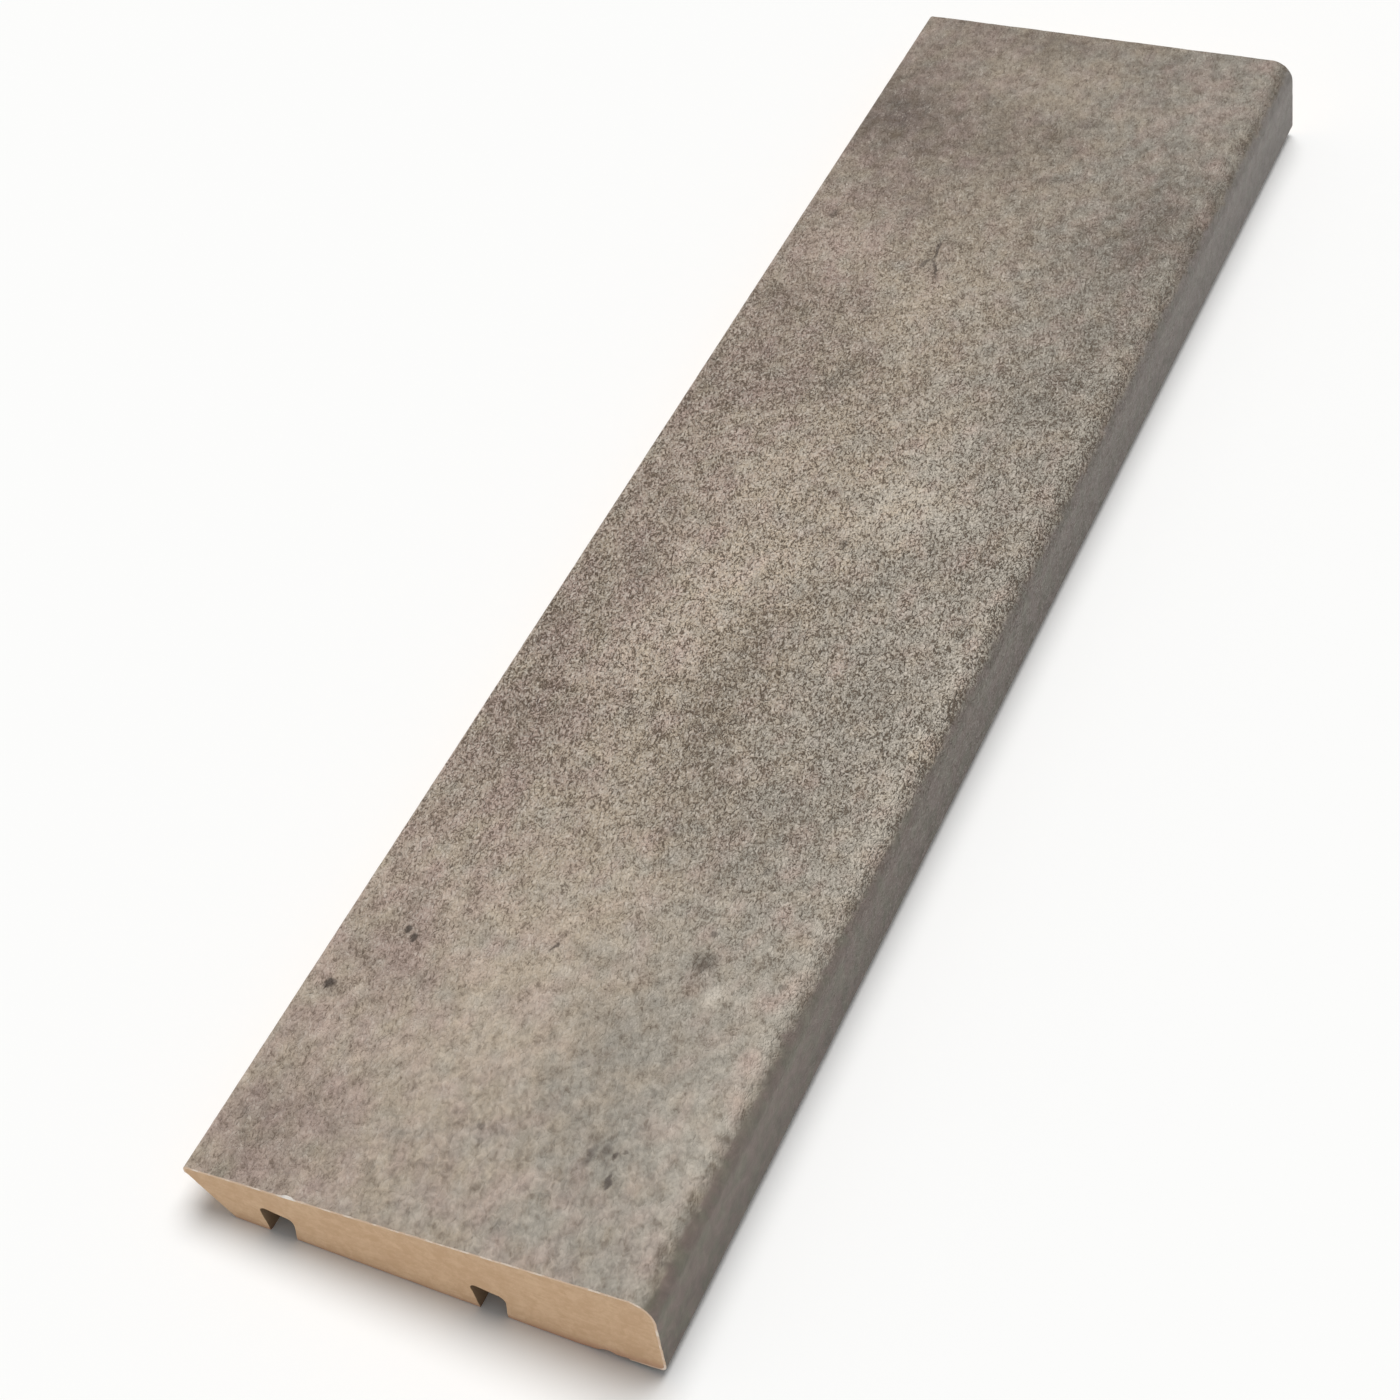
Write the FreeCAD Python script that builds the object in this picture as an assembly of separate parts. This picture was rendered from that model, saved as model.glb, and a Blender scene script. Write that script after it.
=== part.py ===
import FreeCAD, Part

# A short length of foil-wrapped skirting board: an MDF moulding with two clip grooves in its back.
#
# The cross-section is drawn as the board stands on a wall, in millimetres:
# x runs up the wall from the foot of the front face, and z runs out of the wall towards the room.
# The section is then extruded along Y and laid down on its sloping back, as it rests on a level floor.

import math
import os

from FreeCAD import Vector

# Overall size of the finished board, with its foil
HEIGHT = 58.0
THICKNESS = 12.0
LENGTH = 232.0

# Rounded edges milled on the core, which the foil is glued round
TOP_RADIUS = 2.9
ARRIS_RADIUS = 0.7
NOSE_RADIUS = 0.4

# Decor foil over the front, with a short turn round the nose of the foot and a lap onto the back
FOIL = 0.3
FOIL_LAP = 4.5
NOSE_TURN = 0.5

# Back of the board: a band against the wall, part under the lap and part bare, then a sloping relief
BARE_BAND = 6.5
RELIEF_AT_FOOT = 4.3
FOOT_BEVEL = 5.1

# Clip grooves, each with a straight side towards the top edge and an undercut side towards the foot
GROOVE_MOUTH = 3.3
GROOVE_DEPTH = 4.2
GROOVE_UNDERCUT = 1.05
GROOVE_ROOF_FALL = 0.6
GROOVE_HOOK_RADIUS = 0.6
GROOVE_RADIUS = 1.1
GROOVE_FROM_FOOT = 6.2
GROOVE_PITCH = 26.1
GROOVE_COUNT = 2


def section_point(x, z):
    """A point of the section, which is drawn in the plane Y = 0."""
    return Vector(x, 0.0, z)


def line(start, end):
    """A straight edge."""
    return Part.LineSegment(start, end).toShape()


def rounded_path(corners, radii):
    """Edges along the corners, with a tangent arc of the given radius at each inner corner."""
    edges = []
    start = corners[0]
    for before, corner, after, radius in zip(corners, corners[1:], corners[2:], radii):
        back = (before - corner).normalize()
        ahead = (after - corner).normalize()
        half_angle = back.getAngle(ahead) / 2.0
        setback = radius / math.tan(half_angle)
        arc_start = corner + back * setback
        arc_end = corner + ahead * setback
        bisector = (back + ahead).normalize()
        centre = corner + bisector * (radius / math.sin(half_angle))
        arc_middle = centre - bisector * radius
        edges.append(line(start, arc_start))
        edges.append(Part.Arc(arc_start, arc_middle, arc_end).toShape())
        start = arc_end
    edges.append(line(start, corners[-1]))
    return edges


def face_of(edges):
    """A flat face bounded by edges given in any order."""
    return Part.Face(Part.Wire(Part.__sortEdges__(edges)))


def wrap_corners(inset):
    """Corners of the wrapped outline, from the foot nose round to the end of the lap, moved in by inset."""
    nose_end = THICKNESS - FOIL - NOSE_RADIUS - NOSE_TURN
    return [
        section_point(inset, nose_end),
        section_point(inset, THICKNESS - inset),
        section_point(HEIGHT - inset, THICKNESS - inset),
        section_point(HEIGHT - inset, inset),
        section_point(HEIGHT - FOIL_LAP, inset),
    ]


def wrap_path(inset):
    """The wrapped outline with its rounded edges, moved in by inset from the outside of the foil."""
    over_core = FOIL - inset
    radii = [radius + over_core for radius in (NOSE_RADIUS, TOP_RADIUS, ARRIS_RADIUS)]
    return rounded_path(wrap_corners(inset), radii)


def foil_section():
    """The foil: the band between the wrapped outline and the same outline moved in by its thickness."""
    outer = wrap_corners(0.0)
    inner = wrap_corners(FOIL)
    ends = [line(outer[0], inner[0]), line(outer[-1], inner[-1])]
    return face_of(wrap_path(0.0) + wrap_path(FOIL) + ends)


def relief_ends():
    """Where the sloping relief starts at the foot, and where it meets the band that touches the wall."""
    foot = section_point(FOOT_BEVEL, FOIL + RELIEF_AT_FOOT)
    band = section_point(HEIGHT - FOIL_LAP - BARE_BAND, FOIL)
    return foot, band


def groove_section(mouth_centre, along, inward):
    """One clip groove, drawn from just outside its mouth; its roof falls away from the undercut side."""
    half_mouth = GROOVE_MOUTH / 2.0
    outside = -GROOVE_MOUTH / 2.0

    def at(across, depth):
        return mouth_centre + along * across + inward * depth

    corners = [
        at(-half_mouth, 0.0),
        at(-half_mouth - GROOVE_UNDERCUT, GROOVE_DEPTH),
        at(half_mouth, GROOVE_DEPTH - GROOVE_ROOF_FALL),
        at(half_mouth, outside),
    ]
    mouth_corner = at(-half_mouth, outside)
    sides = rounded_path(corners, [GROOVE_HOOK_RADIUS, GROOVE_RADIUS])
    return face_of(sides + [line(corners[-1], mouth_corner), line(mouth_corner, corners[0])])


def core_section():
    """The MDF core: the inside of the wrapped outline, closed by the bare back, less the clip grooves."""
    wrapped = wrap_corners(FOIL)
    foot, band = relief_ends()
    back = [line(wrapped[-1], band), line(band, foot), line(foot, wrapped[0])]
    section = face_of(wrap_path(FOIL) + back)
    along = (band - foot).normalize()
    inward = Vector(-along.z, 0.0, along.x)
    for number in range(GROOVE_COUNT):
        mouth_centre = foot + along * (GROOVE_FROM_FOOT + number * GROOVE_PITCH)
        section = section.cut(groove_section(mouth_centre, along, inward))
    return section


def extruded(section):
    """The section run along the board's length, centred on Y = 0."""
    solid = section.extrude(Vector(0.0, LENGTH, 0.0)).Solids[0]
    solid.translate(Vector(0.0, -LENGTH / 2.0, 0.0))
    return solid


def lay_down(solids):
    """Turns the standing solids so that the sloping back lies on Z = 0, and centres them on the origin."""
    foot, band = relief_ends()
    slope = math.degrees(math.atan2(foot.z - band.z, band.x - foot.x))
    for solid in solids:
        solid.translate(foot * -1.0)
        solid.rotate(Vector(0.0, 0.0, 0.0), Vector(0.0, 1.0, 0.0), -slope)
    box = Part.makeCompound(solids).BoundBox
    to_origin = Vector(-(box.XMin + box.XMax) / 2.0, 0.0, -box.ZMin)
    for solid in solids:
        solid.translate(to_origin)


def main():
    """Builds the two pieces and writes one STEP file for each."""
    core = extruded(core_section())
    foil = extruded(foil_section())
    lay_down([core, foil])
    os.makedirs("parts", exist_ok=True)
    core.exportStep("parts/mdf_core.step")
    foil.exportStep("parts/decor_foil.step")


main()
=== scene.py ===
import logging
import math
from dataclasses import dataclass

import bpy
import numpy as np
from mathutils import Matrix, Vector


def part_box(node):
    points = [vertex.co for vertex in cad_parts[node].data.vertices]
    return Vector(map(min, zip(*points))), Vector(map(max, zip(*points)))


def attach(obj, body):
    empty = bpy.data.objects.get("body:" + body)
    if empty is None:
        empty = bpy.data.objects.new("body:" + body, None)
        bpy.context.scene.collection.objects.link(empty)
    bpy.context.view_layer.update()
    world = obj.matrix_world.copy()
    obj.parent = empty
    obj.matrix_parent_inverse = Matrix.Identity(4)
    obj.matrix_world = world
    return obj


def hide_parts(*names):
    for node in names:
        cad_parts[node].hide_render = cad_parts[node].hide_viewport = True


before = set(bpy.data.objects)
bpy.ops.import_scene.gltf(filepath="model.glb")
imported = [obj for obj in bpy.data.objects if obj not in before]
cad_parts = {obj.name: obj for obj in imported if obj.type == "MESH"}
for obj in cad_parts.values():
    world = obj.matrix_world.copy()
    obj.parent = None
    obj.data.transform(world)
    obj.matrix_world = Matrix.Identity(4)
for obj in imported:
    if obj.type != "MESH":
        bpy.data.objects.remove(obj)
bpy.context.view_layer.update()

# A short cut length of foil-wrapped skirting board, lying on its sloping back on a pale floor.
#
# Lengths are in metres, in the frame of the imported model: the board runs along Y, its front face is up,
# its foot is on the -X side and its rounded top edge on the +X side.
# The cross-section is worked out as the board stands on a wall, where the first coordinate runs up the
# wall from the foot of the front face and the second runs out of the wall, and it is then laid down.
# Patterns are written in millimetres: along the board from its near end, and across its front from its foot.

MM = 0.001
WHOLE = 1.0
WHITE = (1.0, 1.0, 1.0, 1.0)
NOISE_MIDDLE = 0.5
SHARP_EDGE_DEGREES = 35.0
# How far the fibreboard inside the clip grooves is darkened: painted shade.
GROOVE_SHADE_TONE = 0.48
SHEET_UV = "sheet"

Colour = tuple[float, float, float, float]

log = logging.getLogger("skirting")


def linear(*levels: float) -> Colour:
    """The linear colour of three display levels from 0 to 255."""
    parts = [level / 255.0 for level in levels]
    curve = [part / 12.92 if part <= 0.04045 else ((part + 0.055) / 1.055) ** 2.4 for part in parts]
    return curve[0], curve[1], curve[2], WHOLE


def blended(first: np.ndarray | tuple, second: np.ndarray | tuple, share: np.ndarray) -> np.ndarray:
    """Rows of colours: first where the share is 0, second where it is 1."""
    return np.array(first) * (1.0 - share[:, None]) + np.array(second) * share[:, None]


@dataclass(frozen=True)
class Fade:
    """A smooth step from 0 at its start to 1 at its end."""

    start: float
    end: float

    def at(self, value: np.ndarray) -> np.ndarray:
        """t * t * (3 - 2 * t) for each value, where t runs from 0 at the start to 1 at the end."""
        share = np.clip((value - self.start) / (self.end - self.start), 0.0, 1.0)
        return share * share * (3.0 - 2.0 * share)


@dataclass(frozen=True)
class Hump:
    """A rise along a line: its middle, its reach to each side, its height and how square it is."""

    middle: float
    reach: float
    height: float
    power: int = 2

    def at(self, place: np.ndarray) -> np.ndarray:
        """height * exp(-((place - middle) / reach) ** power) at each place."""
        return self.height * np.exp(-((place - self.middle) / self.reach) ** self.power)


@dataclass(frozen=True)
class Waves:
    """A relief made of many plane waves of random heading, length and phase."""

    seed: int
    count: int
    shortest: float
    longest: float
    height: float

    def at(self, first: np.ndarray, second: np.ndarray | float = 0.0) -> np.ndarray:
        """The sum of cos(k . place + phase) over the waves, brought to about the height up and down.

        Args:
            first: The first coordinate of every point.
            second: The second coordinate of every point.

        Returns:
            The height at every point.
        """
        draws = np.random.default_rng(self.seed)
        heading = draws.uniform(0.0, math.tau, self.count)
        length = np.exp(draws.uniform(math.log(self.shortest), math.log(self.longest), self.count))
        phase = draws.uniform(0.0, math.tau, self.count)
        total = np.zeros(np.broadcast(first, second).shape)
        for angle, span, shift in zip(heading, length, phase):
            total += np.cos(math.tau / span * (first * math.cos(angle) + second * math.sin(angle)) + shift)
        return self.height * total / math.sqrt(2.0 * self.count)


@dataclass(frozen=True)
class Patchy:
    """A value that varies over a surface: its scale, its middle share, its waves and the share's limits."""

    scale: float
    middle: float
    waves: Waves
    least: float = 0.0
    most: float = math.inf

    def at(self, first: np.ndarray, second: np.ndarray | float = 0.0) -> np.ndarray:
        """scale * (middle + waves), with the bracket kept between its limits."""
        return self.scale * np.clip(self.middle + self.waves.at(first, second), self.least, self.most)


@dataclass(frozen=True)
class GroundShare:
    """How much one colour counts in the print's ground: its level at the foot, its drop and its waves."""

    at_foot: float
    drop: float
    fade: Fade
    waves: Waves

    def at(self, along: np.ndarray, across: np.ndarray) -> np.ndarray:
        """The level less the drop, which comes in across the front, plus the waves."""
        return self.at_foot - self.drop * self.fade.at(across) + self.waves.at(along, across)


@dataclass(frozen=True)
class Stain:
    """One soft cloud or spot of the print, in millimetres: where it is, its reach and its turn in degrees.

    tone is how far it darkens the ground, less than nothing where it lightens it, and pink is how far it
    pulls the colour from green to pink.
    """

    along: float
    across: float
    reach_along: float
    reach_across: float
    tone: float
    pink: float = 0.0
    turn: float = 0.0

    def bell(self, along: np.ndarray, across: np.ndarray) -> np.ndarray:
        """How strong the stain is at each place: 1 in its middle, falling smoothly to 0 at its reach.

        Args:
            along: Each place along the board, in millimetres.
            across: The same across its front.

        Returns:
            The strength, from 0 to 1.
        """
        angle = math.radians(self.turn)
        ahead = (along - self.along) * math.cos(angle) + (across - self.across) * math.sin(angle)
        aside = (across - self.across) * math.cos(angle) - (along - self.along) * math.sin(angle)
        return Fade(1.0, 0.0).at(np.hypot(ahead / self.reach_along, aside / self.reach_across))


@dataclass(frozen=True)
class Sheet:
    """The points of the foil laid flat: along it from its near end and across it from its foot, in metres."""

    along: np.ndarray
    across: np.ndarray
    length: float

    @property
    def share(self) -> np.ndarray:
        """How far along each point is, as a share of the length."""
        return self.along / self.length


class Wire:
    """A number that runs between the nodes of one material, for sums written as plain Python."""

    def __init__(self, socket: bpy.types.NodeSocket) -> None:
        """Holds one output socket."""
        self.socket = socket

    def math(self, operation: str, *values: "Wire | float") -> "Wire":
        """Adds one Math node.

        Args:
            operation: The node's operation.
            values: Its values in order, of which at least one is a wire.

        Returns:
            The node's result.
        """
        sockets = dict(enumerate(values))
        return add_node(self.socket.id_data, "ShaderNodeMath", {"operation": operation}, sockets)

    def __add__(self, other: "Wire | float") -> "Wire":
        """This plus other."""
        return self.math("ADD", self, other)

    def __sub__(self, other: "Wire | float") -> "Wire":
        """This less other."""
        return self.math("SUBTRACT", self, other)

    def __rsub__(self, other: float) -> "Wire":
        """A number less this."""
        return self.math("SUBTRACT", other, self)

    def __mul__(self, other: "Wire | float") -> "Wire":
        """This times other."""
        return self.math("MULTIPLY", self, other)

    __radd__ = __add__
    __rmul__ = __mul__


def add_node(
    tree: bpy.types.NodeTree,
    kind: str,
    settings: dict | None = None,
    sockets: dict | None = None,
    output: int | str = 0,
) -> Wire:
    """Adds any node to a tree.

    Args:
        tree: The material's or the world's node tree.
        kind: The node's type.
        settings: Its own settings, such as a Math node's operation, which are set first.
        sockets: The value or the wire of each input, by name or number.
        output: The output that is handed back, by name or number.

    Returns:
        That output.
    """
    node = tree.nodes.new(kind)
    for name, value in (settings or {}).items():
        setattr(node, name, value)
    for key, value in (sockets or {}).items():
        if isinstance(value, Wire):
            tree.links.new(value.socket, node.inputs[key])
        else:
            node.inputs[key].default_value = value
    return Wire(node.outputs[output])


@dataclass(frozen=True)
class Noise:
    """A soft noise: its swells in a millimetre, octaves, their strength, its distortion and its weight."""

    per_mm: float
    detail: float = 2.0
    roughness: float = 0.5
    distortion: float = 0.0
    weight: float = WHOLE


class Finish:
    """The node tree of one material, with short names for the nodes that patterns need."""

    FACTOR = 0
    FIRST = 6
    SECOND = 7
    RESULT = 2
    MARK_RIM = Fade(0.45, 1.15)

    def __init__(self, name: str) -> None:
        """Starts an empty material."""
        self.material = bpy.data.materials.new(name)
        self.material.use_nodes = True
        self.tree = self.material.node_tree
        self.tree.nodes.clear()

    def node(
        self, kind: str, settings: dict | None = None, sockets: dict | None = None, output: int | str = 0
    ) -> Wire:
        """Adds any node to this material."""
        return add_node(self.tree, kind, settings, sockets, output)

    def scaled(self, vector: Wire, amount: Wire | float) -> Wire:
        """A vector or colour times a number."""
        return self.node("ShaderNodeVectorMath", {"operation": "SCALE"}, {0: vector, "Scale": amount})

    def sheet_place(self) -> Wire:
        """The place on the foil in millimetres: along the board, and across it from the foot."""
        place = self.node("ShaderNodeUVMap", {"uv_map": SHEET_UV})
        return self.scaled(place, 1.0 / MM)

    def object_place(self) -> Wire:
        """The place in the board's own frame, in millimetres."""
        place = self.node("ShaderNodeTexCoord", output="Object")
        return self.scaled(place, 1.0 / MM)

    def attribute(self, name: str, output: str = "Fac") -> Wire:
        """A number, or a "Color", that is kept at every point of the piece."""
        return self.node("ShaderNodeAttribute", {"attribute_name": name}, None, output)

    def noise(self, place: Wire, noise: Noise, flat: bool = False, output: str = "Fac") -> Wire:
        """Reads a soft noise.

        Args:
            place: Where it is read, in millimetres.
            noise: Its sizes.
            flat: Whether it is read in two dimensions, as a print is.
            output: "Fac" for a number about 0.5, or "Color" for three.

        Returns:
            The noise.
        """
        settings = {"noise_dimensions": "2D" if flat else "3D"}
        sockets = {
            "Vector": place,
            "Scale": noise.per_mm,
            "Detail": noise.detail,
            "Roughness": noise.roughness,
            "Distortion": noise.distortion,
        }
        return self.node("ShaderNodeTexNoise", settings, sockets, output)

    def stretched(
        self, place: Wire, stretch: tuple, turn: float = 0.0, middle: tuple = (0.0, 0.0, 0.0)
    ) -> Wire:
        """The place as a stretched and turned pattern reads it.

        Args:
            place: Where the pattern is read, in millimetres.
            stretch: How long a unit of the pattern is along each of its own axes.
            turn: How far those axes are turned about Z, in degrees.
            middle: Where the pattern's own origin lies.

        Returns:
            The place in the pattern's own units.
        """
        sockets = {
            "Vector": place,
            "Location": middle,
            "Rotation": (0.0, 0.0, math.radians(turn)),
            "Scale": stretch,
        }
        return self.node("ShaderNodeMapping", {"vector_type": "TEXTURE"}, sockets)

    def swing(self, place: Wire, noise: Noise) -> Wire:
        """A flat noise less its middle, times its weight."""
        return (self.noise(place, noise, flat=True) - NOISE_MIDDLE) * noise.weight

    def bent(self, place: Wire, wobble: Noise) -> Wire:
        """The place pushed about by a flat noise, whose weight in millimetres is its whole swing."""
        pushed = self.noise(place, wobble, flat=True, output="Color")
        middle = (NOISE_MIDDLE, NOISE_MIDDLE, NOISE_MIDDLE)
        centred = self.node("ShaderNodeVectorMath", {"operation": "SUBTRACT"}, {0: pushed, 1: middle})
        sockets = {0: centred, 1: (wobble.weight, wobble.weight, 0.0), 2: place}
        return self.node("ShaderNodeVectorMath", {"operation": "MULTIPLY_ADD"}, sockets)

    def ramp(self, value: Wire, fade: Fade, low: float = 0.0, high: float = 1.0) -> Wire:
        """A smooth step from low at the fade's start to high at its end."""
        settings = {"interpolation_type": "SMOOTHSTEP"}
        sockets = {"Value": value, 1: fade.start, 2: fade.end, 3: low, 4: high}
        return self.node("ShaderNodeMapRange", settings, sockets)

    def mix(self, factor: Wire, first: Wire | tuple, second: Wire | tuple) -> Wire:
        """Two colours mixed by a factor."""
        sockets = {self.FACTOR: factor, self.FIRST: first, self.SECOND: second}
        return self.node("ShaderNodeMix", {"data_type": "RGBA"}, sockets, self.RESULT)

    def oval(self, place: Wire, mark: Stain) -> Wire:
        """How deep a place lies in an oval mark: 1 about its middle and 0 from its rim outwards."""
        stretch = (mark.reach_along, mark.reach_across, 1.0 / MM)
        inside = self.stretched(place, stretch, mark.turn, (mark.along, mark.across, 0.0))
        distance = self.node("ShaderNodeVectorMath", {"operation": "LENGTH"}, {0: inside}, "Value")
        return self.ramp(distance, self.MARK_RIM, 1.0, 0.0)

    def bump(self, height_mm: Wire) -> Wire:
        """The normal of a relief whose height is given in millimetres."""
        return self.node("ShaderNodeBump", None, {"Strength": WHOLE, "Distance": MM, "Height": height_mm})

    def surface(self, colour: Wire, relief: Wire, roughness: float, shine: float = 0.5) -> bpy.types.Material:
        """Ends the material with a surface of this colour, relief, roughness and shine."""
        sockets = {
            "Base Color": colour,
            "Roughness": roughness,
            "Normal": relief,
            "Specular IOR Level": shine,
        }
        return self.close(self.node("ShaderNodeBsdfPrincipled", None, sockets, "BSDF"))

    def close(self, shader: Wire) -> bpy.types.Material:
        """Joins the shader to the material's output."""
        output = self.tree.nodes.new("ShaderNodeOutputMaterial")
        self.tree.links.new(shader.socket, output.inputs["Surface"])
        return self.material


CLOUDS = (
    Stain(27, 41, 26, 10, 0.08, -0.3),
    Stain(26, 53, 28, 9, -0.12),
    Stain(9, 37, 8, 8, -0.14),
    Stain(32, 24, 34, 14, -0.14, 0.1),
    Stain(7, 9, 16, 12, 0.19, 0.3),
    Stain(36, 9, 14, 9, 0.15, 0.3),
    Stain(52, 32, 11, 9, -0.10),
    Stain(62, 38, 11, 13, 0.13, turn=20),
    Stain(72, 32, 14, 10, 0.16, turn=-20),
    Stain(87, 29, 20, 8, 0.22, -0.2),
    Stain(107, 36, 9, 8, 0.04, -0.3, 25),
    Stain(70, 45, 13, 9, 0.12),
    Stain(88, 48, 14, 10, 0.12, -0.4),
    Stain(86, 54, 34, 7, -0.05, -0.1),
    Stain(116, 51, 9, 8, 0.08),
    Stain(72, 7, 24, 13, 0.18, 0.2),
    Stain(92, 5, 9, 8, 0.15, 0.1),
    Stain(108, 20, 28, 11, -0.16, 0.1),
    Stain(104, 8, 14, 8, 0.14, 0.1),
    Stain(91, 18, 7, 9, -0.12, 0.2),
    Stain(123, 38, 13, 15, -0.30, -0.2, -20),
    Stain(136, 37, 18, 12, -0.18),
    Stain(143, 9, 12, 17, 0.14, 0.2),
    Stain(149, 20, 9, 6, 0.12, 0.1, 15),
    Stain(149, 48, 11, 12, 0.15, -0.3, -30),
    Stain(159, 8, 12, 14, 0.12),
    Stain(168, 51, 22, 12, 0.13, 0.1),
    Stain(188, 51, 18, 13, 0.25, 0.2),
    Stain(180, 40, 11, 9, 0.10),
    Stain(163, 28, 22, 12, -0.10),
    Stain(173, 8, 14, 13, -0.12, 0.2),
    Stain(186, 12, 10, 11, 0.12, 0.1),
    Stain(202, 16, 20, 27, 0.20, 0.1),
    Stain(206, 31, 8, 8, 0.08),
    Stain(208, 4, 17, 13, 0.27, 0.1),
    Stain(221, 27, 14, 30, -0.07),
    Stain(229, 23, 9, 14, 0.22),
    Stain(220, 49, 20, 14, -0.04, 0.3),
    Stain(224, 40, 13, 10, 0.12),
    Stain(226, 7, 14, 13, 0.12),
    Stain(203, 51, 13, 9, 0.08),
    Stain(108, 26, 26, 9, -0.13, turn=37),
    Stain(128, 20, 15, 13, -0.15),
    Stain(105, 46, 14, 13, -0.05),
    Stain(122, 0, 130, 12, 0.07),
    Stain(88, 13, 13, 8, -0.10),
    Stain(165, 22, 13, 8, -0.07),
    Stain(6, 34, 18, 30, 0.03, 0.25),
    Stain(8, 4, 17, 9, 0.10),
)

SPOTS = (
    Stain(44.8, 44.2, 3.8, 3.4, 0.40, 0.1),
    Stain(16.2, 44.6, 2.4, 2.1, 0.34),
    Stain(13.6, 46.8, 1.5, 2.8, 0.26, turn=30),
    Stain(18.0, 42.6, 2.6, 1.2, 0.28, turn=35),
    Stain(12.4, 43.4, 1.3, 1.3, 0.34),
    Stain(28.7, 3.3, 1.7, 1.5, 0.40, 0.2, 20),
    Stain(38.2, 9.0, 1.6, 1.5, 0.30, 0.1),
    Stain(52.0, 10.0, 1.5, 1.3, 0.36, 0.1),
    Stain(76.0, 23.8, 2.6, 2.0, 0.22),
    Stain(80.5, 31.0, 3.2, 2.4, 0.20),
    Stain(149.0, 19.8, 3.0, 1.8, 0.30, 0.1, 10),
    Stain(174.0, 22.8, 6.0, 2.0, 0.36, turn=-14),
    Stain(177.5, 25.0, 3.4, 2.4, 0.18, turn=-8),
    Stain(206.0, 30.0, 3.2, 2.6, 0.22),
    Stain(104.0, 33.5, 2.4, 2.0, 0.20),
    Stain(40.6, 47.2, 3.0, 1.7, -0.90, 0.1),
    # The last two carry the top face's painted shade a little over the rounded edge near the near end.
    Stain(6.5, 56.1, 5.0, 1.7, 0.50),
    Stain(14.5, 56.2, 3.4, 1.4, 0.40),
)

PITS = (
    Stain(13.3, 46.6, 1.5, 0.42, 0.9, turn=-6),
    Stain(16.6, 45.9, 0.62, 0.5, 0.9),
    Stain(17.4, 46.7, 0.5, 0.3, 0.5, turn=50),
    Stain(17.2, 44.7, 0.9, 0.7, 0.5),
    Stain(15.7, 43.3, 1.9, 0.6, 0.55, turn=4),
    Stain(15.6, 29.8, 0.7, 0.45, 0.5, turn=-40),
    Stain(44.8, 44.2, 1.9, 1.7, 0.32),
    Stain(49.0, 43.5, 0.5, 0.45, 0.6),
    Stain(44.2, 54.2, 0.7, 0.5, 0.5),
    Stain(41.7, 26.4, 1.1, 0.28, 0.8, turn=16),
    Stain(28.7, 3.3, 0.95, 0.7, 1.0, turn=20),
    Stain(37.8, 9.6, 0.75, 0.45, 0.95, turn=20),
    Stain(39.0, 8.4, 0.8, 0.5, 0.95),
    Stain(59.8, 45.7, 0.8, 0.6, 0.45),
    Stain(115.0, 33.0, 1.3, 0.9, 0.5),
    Stain(176.4, 22.5, 2.8, 0.30, 0.75, turn=-9),
    Stain(172.0, 23.8, 2.8, 0.29, 0.7, turn=-28),
    Stain(173.0, 21.8, 1.5, 0.36, 0.6, turn=17),
    Stain(180.8, 4.7, 1.0, 0.9, 0.5),
)


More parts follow.
